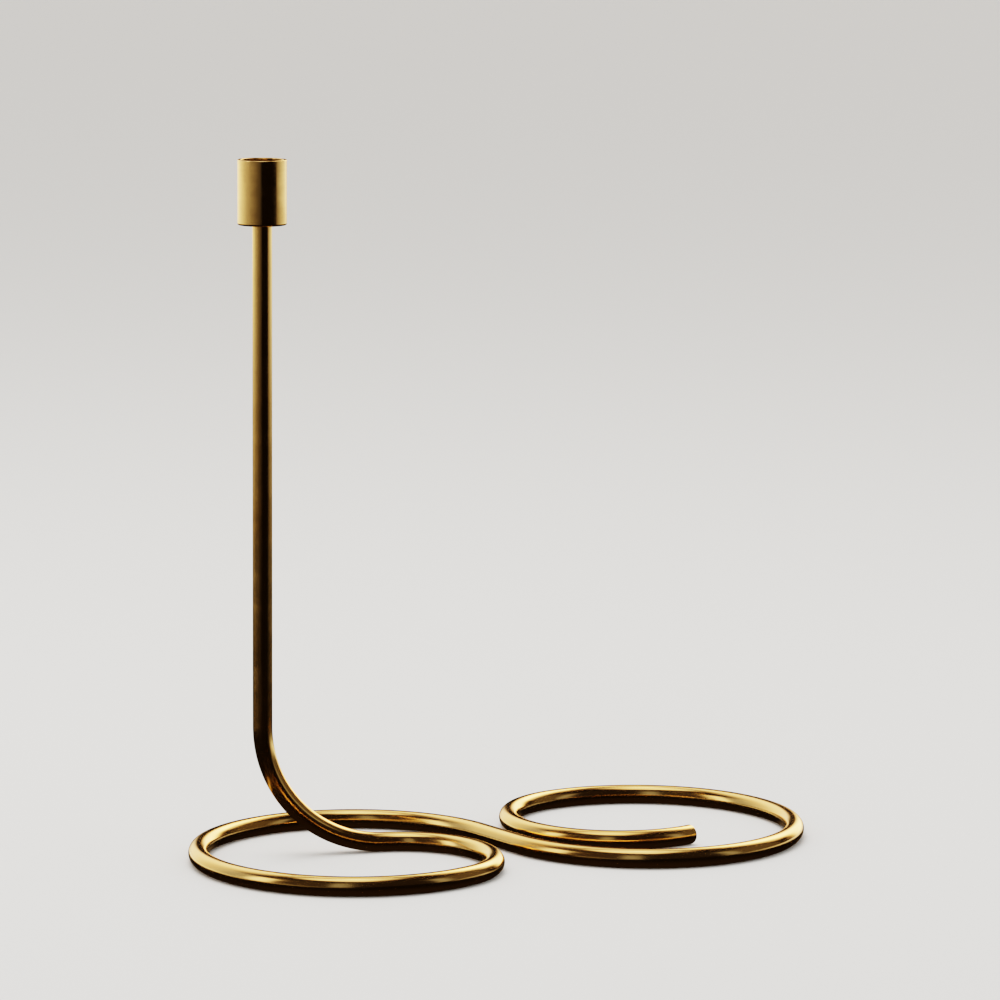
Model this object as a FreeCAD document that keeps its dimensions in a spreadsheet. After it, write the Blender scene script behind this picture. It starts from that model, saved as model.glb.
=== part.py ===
import FreeCAD, Part
import enum
import math
import os
import Sketcher

# Spiral candle holder, in millimetres. One round bar stands up as the stem, turns through a
# quarter bend at its foot and then lies flat as an S of two loops. A turned cup for one taper
# candle sits on the stem's top end, held by a screw through its floor.
# Frame: +Z up, the surface that it stands on at z = 0, origin below the middle of the S,
# +X from the loop that the stem stands in towards the loop with the free end.

# Driving dimensions: one sheet row each.
SIZES = {
    # the bar and the S that it is bent into, measured on the bar's centre line
    "rod_diameter": "10",
    "stem_height": "325",
    "bend_radius": "63",
    "loop_radius": "80",
    "bridge_length": "33",
    "left_inset": "33",
    "right_inset": "24",
    "left_outer_angle": "282.4",
    "left_inner_angle": "145",
    "right_outer_angle": "269.5",
    "right_inner_angle": "188",
    "rod_top_chamfer": "0.5",
    "rod_tip_round": "0.5",
    # the cup, round the candle that it takes
    "candle_diameter": "21",
    "candle_clearance": "0.25",
    "cup_wall": "1.75",
    "cup_floor": "2.5",
    "cup_height": "33",
    "recess_clearance": "0.4",
    "recess_spare_depth": "0.55",
    "recess_chamfer": "0.3",
    "cup_rim_round": "0.4",
    "cup_base_round": "1",
    "cup_corner_round": "0.8",
    # the screw that holds the cup, with its thread drawn plain at its pitch diameter
    "screw_diameter": "5",
    "screw_length": "12",
    "thread_pitch": "0.8",
    "thread_clearance": "0.02",
    "thread_spare_depth": "3",
    "thread_mouth_chamfer": "0.4",
    "screw_tip_chamfer": "0.5",
    "screw_hole_clearance": "0.25",
    "head_overhang": "2.25",
    "head_height": "2.75",
    "socket_width": "3",
    "socket_depth": "1.6",
    # the washers under the screw's head
    "washer_clearance": "0.15",
    "flat_washer_rim": "2.35",
    "flat_washer_thickness": "1",
    "flat_washer_round": "0.15",
    "spring_washer_rim": "1.95",
    "spring_washer_thickness": "1.2",
    "spring_washer_gap": "0.9",
    "spring_washer_lean": "0.35",
}

# A metric thread's pitch diameter is its nominal diameter less this share of its pitch.
THREAD_DEPTH_SHARE = 0.6495
# The head's domed shoulder takes this share of its height.
HEAD_ROUND_SHARE = 0.65
# The drill that starts the tapped hole leaves a cone of this angle, in degrees.
DRILL_POINT_ANGLE = 118
RIGHT_ANGLE = 90
# How far a found edge or face may lie from the place where it is looked for.
NEAR = 0.001
# What a reference dimension holds until its sketch is solved for the first time.
NOT_YET_SOLVED = 1.0

# Expressions that several pieces share, so that they meet.
ROD_RADIUS = "sizes.rod_diameter / 2"
CUP_BASE_HEIGHT = "sizes.stem_height"
CUP_RADIUS = "sizes.candle_diameter / 2 + sizes.candle_clearance + sizes.cup_wall"
BORE_RADIUS = "sizes.candle_diameter / 2 + sizes.candle_clearance"
SCREW_HOLE_RADIUS = "sizes.screw_diameter / 2 + sizes.screw_hole_clearance"
THREAD_RADIUS = f"(sizes.screw_diameter - {THREAD_DEPTH_SHARE} * sizes.thread_pitch) / 2"
TAPPED_RADIUS = f"{THREAD_RADIUS} + sizes.thread_clearance"
HEAD_RADIUS = "sizes.screw_diameter / 2 + sizes.head_overhang"
WASHER_HOLE_RADIUS = "sizes.screw_diameter / 2 + sizes.washer_clearance"
FLAT_WASHER_RADIUS = f"{WASHER_HOLE_RADIUS} + sizes.flat_washer_rim"
SPRING_WASHER_RADIUS = f"{WASHER_HOLE_RADIUS} + sizes.spring_washer_rim"
CUP_FLOOR_HEIGHT = f"{CUP_BASE_HEIGHT} + sizes.cup_floor"
SPRING_WASHER_HEIGHT = f"{CUP_FLOOR_HEIGHT} + sizes.flat_washer_thickness"
HEAD_SEAT_HEIGHT = f"{SPRING_WASHER_HEIGHT} + sizes.spring_washer_thickness"
RECESS_RADIUS = f"{FLAT_WASHER_RADIUS} + sizes.recess_clearance"
BORE_FLOOR = (
    "sizes.cup_floor + sizes.flat_washer_thickness + sizes.spring_washer_thickness"
    " + sizes.head_height + sizes.recess_spare_depth"
)
SCREW_REACH = (
    "sizes.screw_length - sizes.cup_floor - sizes.flat_washer_thickness - sizes.spring_washer_thickness"
)

UP = FreeCAD.Vector(0, 0, 1)


class Axis(enum.IntEnum):
    """A sketch's own axes, by the numbers that they have among its curves."""

    HORIZONTAL = -1
    VERTICAL = -2


class Spot(enum.IntEnum):
    """The points of a curve, by the numbers that a constraint takes."""

    START = 1
    END = 2
    CENTRE = 3


# The sketch's origin, as a curve and one of its points.
ORIGIN = (Axis.HORIZONTAL, Spot.START)


def make_sheet(doc):
    """Writes the driving dimensions, one aliased cell each."""
    sheet = doc.addObject("Spreadsheet::Sheet", "sizes")
    for row, (alias, text) in enumerate(SIZES.items(), start=1):
        sheet.set(f"A{row}", alias)
        sheet.set(f"B{row}", text)
        sheet.setAlias(f"B{row}", alias)
    doc.recompute()
    return sheet


def value(holder, expression):
    """The number that an expression gives at the moment."""
    result = holder.evalExpression(expression)
    return float(getattr(result, "Value", result))


def new_body(doc, label):
    body = doc.addObject("PartDesign::Body", label)
    body.Label = label
    return body


def new_sketch(body, name, role, height=None):
    """A sketch on one of the body's own origin planes, raised by an expression if one is given."""
    plane = next(p for p in body.Origin.OriginFeatures if p.Role == role)
    sketch = body.newObject("Sketcher::SketchObject", name)
    sketch.AttachmentSupport = [(plane, "")]
    sketch.MapMode = "FlatFace"
    if height:
        sketch.setExpression("AttachmentOffset.Base.z", height)
    return sketch


def dimension(sketch, name, expression, kind, *where):
    """A named sketch dimension whose size is bound to an expression."""
    index = sketch.addConstraint(Sketcher.Constraint(kind, *where, value(sketch, expression)))
    sketch.renameConstraint(index, name)
    sketch.setExpression(f"Constraints.{name}", expression)


def turn(sketch, name, degrees, curve):
    """A named dimension of the angle that an arc turns through, bound to an expression in degrees."""
    angle = math.radians(value(sketch, degrees))
    index = sketch.addConstraint(Sketcher.Constraint("Angle", curve, angle))
    sketch.renameConstraint(index, name)
    sketch.setExpression(f"Constraints.{name}", f"{degrees} * 1 deg")


def reading(sketch, name, kind, *where):
    """A named reference dimension: the sketch works it out, and other pieces read it."""
    index = sketch.addConstraint(Sketcher.Constraint(kind, *where, NOT_YET_SOLVED))
    sketch.renameConstraint(index, name)
    sketch.setDriving(index, False)


def place_corner(sketch, name, curve, end, across, up):
    """Puts one end of a curve at a place given by two expressions. Zero means on the axis."""
    if across == "0":
        sketch.addConstraint(Sketcher.Constraint("PointOnObject", curve, end, Axis.VERTICAL))
    else:
        dimension(sketch, f"{name}_across", across, "DistanceX", *ORIGIN, curve, end)
    if up == "0":
        sketch.addConstraint(Sketcher.Constraint("PointOnObject", curve, end, Axis.HORIZONTAL))
    else:
        dimension(sketch, f"{name}_up", up, "DistanceY", *ORIGIN, curve, end)


def closed_outline(sketch, corners):
    """A closed outline of straight lines through named corners: {name: (across, up)}."""
    places = [
        FreeCAD.Vector(value(sketch, across), value(sketch, up), 0) for across, up in corners.values()
    ]
    lines = []
    for first, second in zip(places, places[1:] + places[:1]):
        lines.append(sketch.addGeometry(Part.LineSegment(first, second)))
    for line, following in zip(lines, lines[1:] + lines[:1]):
        sketch.addConstraint(Sketcher.Constraint("Coincident", line, Spot.END, following, Spot.START))
    for line, (name, (across, up)) in zip(lines, corners.items()):
        place_corner(sketch, name, line, Spot.START, across, up)


def circle_at_origin(sketch, name, radius):
    """A circle round the sketch's origin, with its radius bound to an expression."""
    centre = FreeCAD.Vector(0, 0, 0)
    circle = sketch.addGeometry(Part.Circle(centre, UP, value(sketch, radius)))
    sketch.addConstraint(Sketcher.Constraint("Coincident", circle, Spot.CENTRE, *ORIGIN))
    dimension(sketch, name, radius, "Radius", circle)


def turned(body, name, corners):
    """A full revolution of a half section about the body's own Z axis."""
    section = new_sketch(body, f"{name}_section", "XZ_Plane")
    closed_outline(section, corners)
    body.Document.recompute()
    solid = body.newObject("PartDesign::Revolution", name)
    solid.Profile = section
    solid.ReferenceAxis = (section, ["V_Axis"])
    body.Document.recompute()
    return solid


def circle_edges(solid, radius, height):
    """Names of a solid's level round edges that have this radius and height."""
    level = value(solid, height)
    wanted = (value(solid, radius), level, level)
    names = []
    for number, edge in enumerate(solid.Shape.Edges, start=1):
        found = (edge.Length / (2 * math.pi), edge.BoundBox.ZMin, edge.BoundBox.ZMax)
        if math.dist(found, wanted) < NEAR:
            names.append(f"Edge{number}")
    return names


def round_edges(body, name, solid, edges, radius):
    """Fillets the named edges of the body's last solid."""
    fillet = body.newObject("PartDesign::Fillet", name)
    fillet.Base = (solid, edges)
    fillet.setExpression("Radius", radius)
    body.Document.recompute()
    return fillet


def chamfer_edges(body, name, solid, edges, size):
    """Chamfers the named edges of the body's last solid."""
    chamfer = body.newObject("PartDesign::Chamfer", name)
    chamfer.Base = (solid, edges)
    chamfer.setExpression("Size", size)
    body.Document.recompute()
    return chamfer


def stand_on_stem(body, height):
    """Puts a turned piece on the stem's axis, with its own z = 0 at a height above the floor."""
    body.setExpression("Placement.Base.x", "foot_path.Constraints.stem_x")
    body.setExpression("Placement.Base.y", "foot_path.Constraints.stem_y")
    body.setExpression("Placement.Base.z", height)


def arc(centre, radius, first, last):
    return Part.ArcOfCircle(Part.Circle(centre, UP, radius), first, last)


def direction(angle):
    return FreeCAD.Vector(math.cos(angle), math.sin(angle), 0)


def loop_arcs(sketch, side, turned_by):
    """The outer and the inner arc of one loop, from the bridge inwards, both anticlockwise.

    The S looks the same when it is turned by half a turn, so the left loop is the right one
    turned by pi. The inner arc starts where the outer one ends and has a smaller radius.
    """
    radius = value(sketch, "sizes.loop_radius")
    bridge = value(sketch, "sizes.bridge_length")
    inset = value(sketch, f"sizes.{side}_inset")
    outer_angle = math.radians(value(sketch, f"sizes.{side}_outer_angle"))
    inner_angle = math.radians(value(sketch, f"sizes.{side}_inner_angle"))
    centre = direction(turned_by) * (math.hypot(2 * radius, bridge) / 2)
    first = turned_by - math.atan2(2 * radius, bridge) - math.radians(RIGHT_ANGLE)
    joint = first + outer_angle
    outer = arc(centre, radius, first, joint)
    inner = arc(centre + direction(joint) * inset, radius - inset, joint, joint + inner_angle)
    return outer, inner


def constrain_loop(sketch, side, outer, inner):
    """Sizes one loop's two arcs and joins them smoothly."""
    sketch.addConstraint(Sketcher.Constraint("Tangent", outer, Spot.END, inner, Spot.START))
    dimension(sketch, f"{side}_outer_radius", "sizes.loop_radius", "Radius", outer)
    dimension(sketch, f"{side}_inner_radius", f"sizes.loop_radius - sizes.{side}_inset", "Radius", inner)
    turn(sketch, f"{side}_outer_turn", f"sizes.{side}_outer_angle", outer)
    turn(sketch, f"{side}_inner_turn", f"sizes.{side}_inner_angle", inner)


def make_foot_path(body):
    """The centre line of the bar where it lies flat, from the foot of the bend to the free end."""
    sketch = new_sketch(body, "foot_path", "XY_Plane", ROD_RADIUS)
    left_outer_arc, left_inner_arc = loop_arcs(sketch, "left", math.pi)
    right_outer_arc, right_inner_arc = loop_arcs(sketch, "right", 0)
    bend_foot = left_inner_arc.EndPoint
    towards_stem = UP.cross(bend_foot - left_inner_arc.Location).normalize()
    stem_foot = bend_foot + towards_stem * value(sketch, "sizes.bend_radius")

    left_inner = sketch.addGeometry(left_inner_arc)
    left_outer = sketch.addGeometry(left_outer_arc)
    bridge = sketch.addGeometry(Part.LineSegment(left_outer_arc.StartPoint, right_outer_arc.StartPoint))
    right_outer = sketch.addGeometry(right_outer_arc)
    right_inner = sketch.addGeometry(right_inner_arc)
    # Not part of the path: the quarter bend seen from above, from the stem to the path's start.
    bend_run = sketch.addGeometry(Part.LineSegment(stem_foot, bend_foot), True)

    constrain_loop(sketch, "left", left_outer, left_inner)
    constrain_loop(sketch, "right", right_outer, right_inner)
    sketch.addConstraint(Sketcher.Constraint("PointOnObject", left_outer, Spot.CENTRE, Axis.HORIZONTAL))
    sketch.addConstraint(
        Sketcher.Constraint("Symmetric", left_outer, Spot.CENTRE, right_outer, Spot.CENTRE, *ORIGIN)
    )
    sketch.addConstraint(Sketcher.Constraint("Tangent", left_outer, Spot.START, bridge, Spot.START))
    sketch.addConstraint(Sketcher.Constraint("Tangent", bridge, Spot.END, right_outer, Spot.START))
    sketch.addConstraint(Sketcher.Constraint("Tangent", bend_run, Spot.END, left_inner, Spot.END))
    dimension(sketch, "bridge", "sizes.bridge_length", "Distance", bridge)
    dimension(sketch, "bend_run", "sizes.bend_radius", "Distance", bend_run)
    reading(sketch, "stem_x", "DistanceX", *ORIGIN, bend_run, Spot.START)
    reading(sketch, "stem_y", "DistanceY", *ORIGIN, bend_run, Spot.START)
    reading(sketch, "stem_heading", "Angle", bend_run)
    body.Document.recompute()
    return sketch


def make_stem_section(body):
    """The bar's round section at the foot of the stem, with the axis that the bend turns about."""
    sketch = new_sketch(body, "stem_section", "XY_Plane", f"sizes.bend_radius + {ROD_RADIUS}")
    sketch.AttachmentOffset = FreeCAD.Placement(
        sketch.AttachmentOffset.Base, FreeCAD.Rotation(UP, RIGHT_ANGLE)
    )
    sketch.setExpression("AttachmentOffset.Base.x", "foot_path.Constraints.stem_x")
    sketch.setExpression("AttachmentOffset.Base.y", "foot_path.Constraints.stem_y")
    sketch.setExpression("AttachmentOffset.Rotation.Angle", "foot_path.Constraints.stem_heading")
    circle_at_origin(sketch, "bar_radius", ROD_RADIUS)
    bend_radius = value(sketch, "sizes.bend_radius")
    reach = value(sketch, "sizes.rod_diameter")
    axis = sketch.addGeometry(
        Part.LineSegment(
            FreeCAD.Vector(bend_radius, reach, 0), FreeCAD.Vector(bend_radius, -reach, 0)
        ),
        True,
    )
    place_corner(sketch, "axis", axis, Spot.START, "sizes.bend_radius", "sizes.rod_diameter")
    sketch.addConstraint(
        Sketcher.Constraint("Symmetric", axis, Spot.START, axis, Spot.END, Axis.HORIZONTAL)
    )
    body.Document.recompute()
    return sketch


def lowest_flat_face(solid):
    """The name of the solid's lowest flat face."""
    flat = {
        f"Face{number}": face.CenterOfMass.z
        for number, face in enumerate(solid.Shape.Faces, start=1)
        if isinstance(face.Surface, Part.Plane)
    }
    return min(flat, key=flat.get)


def make_bent_rod(doc):
    """The bar: upright stem, quarter bend, flat S, and the tapped hole in its top end."""
    body = new_body(doc, "bent_rod")
    path = make_foot_path(body)
    section = make_stem_section(body)

    stem = body.newObject("PartDesign::Pad", "stem")
    stem.Profile = section
    stem.setExpression("Length", f"{CUP_BASE_HEIGHT} - sizes.bend_radius - {ROD_RADIUS}")
    doc.recompute()

    bend = body.newObject("PartDesign::Revolution", "bend")
    bend.Profile = section
    bend.ReferenceAxis = (section, ["Axis0"])
    bend.Angle = RIGHT_ANGLE
    doc.recompute()

    foot = body.newObject("PartDesign::AdditivePipe", "foot")
    foot.Profile = (bend, [lowest_flat_face(bend)])
    foot.Spine = (path, [f"Edge{number}" for number in range(1, len(path.Shape.Edges) + 1)])
    doc.recompute()

    tip = round_edges(body, "rod_tip", foot, [lowest_flat_face(foot)], "sizes.rod_tip_round")
    top_edge = circle_edges(tip, ROD_RADIUS, CUP_BASE_HEIGHT)
    chamfer_edges(body, "rod_top", tip, top_edge, "sizes.rod_top_chamfer")

    mouth = new_sketch(body, "thread_mouth", "XY_Plane", CUP_BASE_HEIGHT)
    mouth.setExpression("AttachmentOffset.Base.x", "foot_path.Constraints.stem_x")
    mouth.setExpression("AttachmentOffset.Base.y", "foot_path.Constraints.stem_y")
    circle_at_origin(mouth, "tapped_radius", TAPPED_RADIUS)
    doc.recompute()
    hole = body.newObject("PartDesign::Hole", "tapped_hole")
    hole.Profile = mouth
    hole.Threaded = False
    hole.DepthType = "Dimension"
    hole.DrillPoint = "Angled"
    hole.DrillPointAngle = DRILL_POINT_ANGLE
    hole.setExpression("Diameter", f"2 * ({TAPPED_RADIUS})")
    hole.setExpression("Depth", f"{SCREW_REACH} + sizes.thread_spare_depth")
    doc.recompute()
    mouth_edge = circle_edges(hole, TAPPED_RADIUS, CUP_BASE_HEIGHT)
    chamfer_edges(body, "thread_lead_in", hole, mouth_edge, "sizes.thread_mouth_chamfer")
    return body


def make_candle_cup(doc):
    """The turned cup: a bore for the candle, and below it a recess that sinks the screw's head."""
    body = new_body(doc, "candle_cup")
    stand_on_stem(body, CUP_BASE_HEIGHT)
    cup = turned(
        body,
        "cup_turning",
        {
            "hole_bottom": (SCREW_HOLE_RADIUS, "0"),
            "base_edge": (CUP_RADIUS, "0"),
            "rim_outside": (CUP_RADIUS, "sizes.cup_height"),
            "rim_inside": (BORE_RADIUS, "sizes.cup_height"),
            "bore_corner": (BORE_RADIUS, BORE_FLOOR),
            "recess_mouth": (RECESS_RADIUS, BORE_FLOOR),
            "recess_corner": (RECESS_RADIUS, "sizes.cup_floor"),
            "hole_top": (SCREW_HOLE_RADIUS, "sizes.cup_floor"),
        },
    )
    base = round_edges(body, "base", cup, circle_edges(cup, CUP_RADIUS, "0"), "sizes.cup_base_round")
    rim_edges = circle_edges(base, CUP_RADIUS, "sizes.cup_height")
    rim_edges += circle_edges(base, BORE_RADIUS, "sizes.cup_height")
    rim = round_edges(body, "rim", base, rim_edges, "sizes.cup_rim_round")
    corner = circle_edges(rim, BORE_RADIUS, BORE_FLOOR)
    bored = round_edges(body, "bore_corner", rim, corner, "sizes.cup_corner_round")
    mouth = circle_edges(bored, RECESS_RADIUS, BORE_FLOOR)
    chamfer_edges(body, "recess_mouth", bored, mouth, "sizes.recess_chamfer")
    return body


def make_cup_screw(doc):
    """A button-head screw with a hexagon socket. Its own z = 0 is the face under its head."""
    body = new_body(doc, "cup_screw")
    stand_on_stem(body, HEAD_SEAT_HEIGHT)
    blank = turned(
        body,
        "screw_turning",
        {
            "tip_axis": ("0", "-sizes.screw_length"),
            "tip_edge": (THREAD_RADIUS, "-sizes.screw_length"),
            "shank_root": (THREAD_RADIUS, "0"),
            "head_seat": (HEAD_RADIUS, "0"),
            "head_shoulder": (HEAD_RADIUS, "sizes.head_height"),
            "head_axis": ("0", "sizes.head_height"),
        },
    )
    shoulder = circle_edges(blank, HEAD_RADIUS, "sizes.head_height")
    domed = round_edges(body, "dome", blank, shoulder, f"{HEAD_ROUND_SHARE} * sizes.head_height")
    tip_edge = circle_edges(domed, THREAD_RADIUS, "-sizes.screw_length")
    chamfer_edges(body, "screw_tip", domed, tip_edge, "sizes.screw_tip_chamfer")

    across_flats = "sizes.socket_width / 2"
    across_corners = "sizes.socket_width / sqrt(3)"
    hexagon = new_sketch(body, "socket_section", "XY_Plane", "sizes.head_height")
    closed_outline(
        hexagon,
        {
            "top": ("0", across_corners),
            "upper_left": (f"-{across_flats}", f"{across_corners} / 2"),
            "lower_left": (f"-{across_flats}", f"-{across_corners} / 2"),
            "bottom": ("0", f"-{across_corners}"),
            "lower_right": (across_flats, f"-{across_corners} / 2"),
            "upper_right": (across_flats, f"{across_corners} / 2"),
        },
    )
    doc.recompute()
    socket = body.newObject("PartDesign::Pocket", "socket")
    socket.Profile = hexagon
    socket.setExpression("Length", "sizes.socket_depth")
    doc.recompute()
    return body


def washer_corners(outer_radius, thickness):
    """The half section of a flat ring round the screw."""
    return {
        "hole_bottom": (WASHER_HOLE_RADIUS, "0"),
        "edge_bottom": (outer_radius, "0"),
        "edge_top": (outer_radius, thickness),
        "hole_top": (WASHER_HOLE_RADIUS, thickness),
    }


def make_flat_washer(doc):
    """The plain washer that lies on the cup's floor."""
    body = new_body(doc, "flat_washer")
    stand_on_stem(body, CUP_FLOOR_HEIGHT)
    ring = turned(body, "washer_blank", washer_corners(FLAT_WASHER_RADIUS, "sizes.flat_washer_thickness"))
    upper_edge = circle_edges(ring, FLAT_WASHER_RADIUS, "sizes.flat_washer_thickness")
    round_edges(body, "washer_edge", ring, upper_edge, "sizes.flat_washer_round")
    return body


def make_spring_washer(doc):
    """The split lock washer, pressed flat under the tightened screw's head."""
    body = new_body(doc, "spring_washer")
    stand_on_stem(body, SPRING_WASHER_HEIGHT)
    turned(body, "ring", washer_corners(SPRING_WASHER_RADIUS, "sizes.spring_washer_thickness"))
    # The split leans sideways by one lean at each face, and is cut through one side of the ring.
    split = new_sketch(body, "split_section", "XZ_Plane")
    half_gap = "sizes.spring_washer_gap / 2"
    lean = "sizes.spring_washer_lean"
    closed_outline(
        split,
        {
            "lower_left": (f"-{half_gap} - {lean}", "0"),
            "lower_right": (f"{half_gap} - {lean}", "0"),
            "upper_right": (f"{half_gap} + {lean}", "sizes.spring_washer_thickness"),
            "upper_left": (f"-{half_gap} + {lean}", "sizes.spring_washer_thickness"),
        },
    )
    doc.recompute()
    cut = body.newObject("PartDesign::Pocket", "split")
    cut.Profile = split
    cut.setExpression("Length", f"{SPRING_WASHER_RADIUS} + sizes.spring_washer_rim")
    doc.recompute()
    return body


def check_document(doc):
    """Stops before anything is written if an object failed or a cut took nothing away."""
    for item in doc.Objects:
        if "Invalid" in item.State or "Error" in item.State:
            raise RuntimeError(f"{item.Label} failed: {item.State}")
        if item.TypeId in ("PartDesign::Pocket", "PartDesign::Hole"):
            if item.Shape.Volume >= item.BaseFeature.Shape.Volume:
                raise RuntimeError(f"{item.Label} cuts nothing")


def export_bodies(bodies):
    """Writes each piece's one solid to its own file."""
    for body in bodies:
        shape = body.Shape
        if shape.isNull() or not shape.isValid() or len(shape.Solids) != 1:
            raise RuntimeError(f"{body.Label} is not one valid solid")
    os.makedirs("parts", exist_ok=True)
    for body in bodies:
        body.Shape.exportStep(f"parts/{body.Label}.step")
        print(f"{body.Label}: {body.Shape.Volume:.1f} mm3")


def main():
    doc = FreeCAD.newDocument("spiral_candle_holder")
    make_sheet(doc)
    bodies = [
        make_bent_rod(doc),
        make_candle_cup(doc),
        make_flat_washer(doc),
        make_spring_washer(doc),
        make_cup_screw(doc),
    ]
    doc.recompute()
    check_document(doc)
    export_bodies(bodies)


main()
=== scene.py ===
"""Spiral candle holder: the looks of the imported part, on a pale floor in soft studio light.

Sizes in the classes are in millimetres and angles in degrees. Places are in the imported
model's own frame: +Z up, the floor at z = 0, the origin below the middle of the S.
"""

from __future__ import annotations

import logging
import math
from dataclasses import dataclass, field
from enum import Enum
from typing import Any, Callable, Iterator, Optional, Sequence, Union

import bpy
from mathutils import Matrix, Quaternion, Vector
from mathutils.kdtree import KDTree


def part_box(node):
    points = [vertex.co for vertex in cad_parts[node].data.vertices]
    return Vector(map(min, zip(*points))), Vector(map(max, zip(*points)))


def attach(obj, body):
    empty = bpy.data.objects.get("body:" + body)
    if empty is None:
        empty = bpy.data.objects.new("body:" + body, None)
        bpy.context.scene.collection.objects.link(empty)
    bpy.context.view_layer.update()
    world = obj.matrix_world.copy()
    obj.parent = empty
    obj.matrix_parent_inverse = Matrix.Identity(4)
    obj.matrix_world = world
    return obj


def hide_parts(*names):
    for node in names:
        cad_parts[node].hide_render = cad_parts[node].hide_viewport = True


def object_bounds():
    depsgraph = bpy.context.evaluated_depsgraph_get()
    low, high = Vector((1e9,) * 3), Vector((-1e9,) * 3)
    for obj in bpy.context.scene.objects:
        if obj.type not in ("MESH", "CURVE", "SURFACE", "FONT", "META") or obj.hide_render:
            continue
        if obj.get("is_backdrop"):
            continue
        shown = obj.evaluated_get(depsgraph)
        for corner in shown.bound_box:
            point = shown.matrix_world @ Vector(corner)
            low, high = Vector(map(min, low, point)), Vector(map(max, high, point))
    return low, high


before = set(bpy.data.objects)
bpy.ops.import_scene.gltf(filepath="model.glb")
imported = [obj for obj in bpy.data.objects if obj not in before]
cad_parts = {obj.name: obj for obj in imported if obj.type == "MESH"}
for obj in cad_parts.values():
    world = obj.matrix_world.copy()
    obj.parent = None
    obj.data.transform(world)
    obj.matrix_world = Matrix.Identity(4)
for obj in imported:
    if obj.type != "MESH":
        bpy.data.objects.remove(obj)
CAD_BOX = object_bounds()

Tree = bpy.types.NodeTree
Socket = bpy.types.NodeSocket

LOG = logging.getLogger("candle_holder")
MM = 0.001
UP = Vector((0, 0, 1))
# The colour inputs and the colour output of a Mix node, which share their names with others.
MIX_FIRST = 6
MIX_SECOND = 7
MIX_RESULT = 2
# Vertices closer together than this are merged.
MERGE_DISTANCE = 0.001 * MM
# A vertex this close to a ring lies on it.
NEAR = 0.01 * MM
# The bar's UV map, which runs along it and round it in metres.
BAR_MAP = "along_bar"


class Slot(Enum):
    """Material slot names for the bar, the cup and the fixings."""

    BAR = "polished_brass"
    CUP = "turned_brass"
    FIXINGS = "zinc_plated_steel"


class EdgeStyle(Enum):
    """How a sharp edge is broken: the value is how many segments its bevel has."""

    ROUND = 4
    CHAMFER = 1


def linear(hex_colour: str) -> tuple[float, float, float, float]:
    """Turns an sRGB hex colour into the linear RGBA that a shader takes.

    Args:
        hex_colour: Six hex digits, such as "c8a555".

    Returns:
        Linear red, green and blue from 0 to 1, and an alpha of 1.
    """
    channels = []
    for start in (0, 2, 4):
        share = int(hex_colour[start:start + 2], 16) / 255
        channels.append(share / 12.92 if share <= 0.04045 else ((share + 0.055) / 1.055) ** 2.4)
    return (channels[0], channels[1], channels[2], 1.0)


def add_node(
    tree: Tree,
    kind: str,
    settings: Optional[dict[str, Any]] = None,
    inputs: Optional[dict[Union[str, int], Any]] = None,
) -> bpy.types.Node:
    """Adds a node with its settings and its input values or links.

    Args:
        tree: The node tree that takes the node.
        kind: The node's type, such as "ShaderNodeTexNoise".
        settings: The node's own properties by name.
        inputs: A value or another node's output socket for each named or numbered input.

    Returns:
        The new node.
    """
    node = tree.nodes.new(kind)
    for name, setting in (settings or {}).items():
        setattr(node, name, setting)
    for key, source in (inputs or {}).items():
        if isinstance(source, Socket):
            tree.links.new(source, node.inputs[key])
        else:
            node.inputs[key].default_value = source
    return node


def empty_material(name: str) -> bpy.types.Material:
    """Makes a material whose node tree is empty.

    Args:
        name: The material's name.

    Returns:
        The material.
    """
    material = bpy.data.materials.new(name)
    material.use_nodes = True
    material.node_tree.nodes.clear()
    return material


def dress(pieces: Sequence[bpy.types.Object], finish: Finish) -> Sequence[bpy.types.Object]:
    """Gives some pieces one finish in place of what they have.

    Args:
        pieces: The pieces.
        finish: The finish.

    Returns:
        The pieces.
    """
    material = finish.build()
    for piece in pieces:
        piece.data.materials.clear()
        piece.data.materials.append(material)
    return pieces


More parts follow.
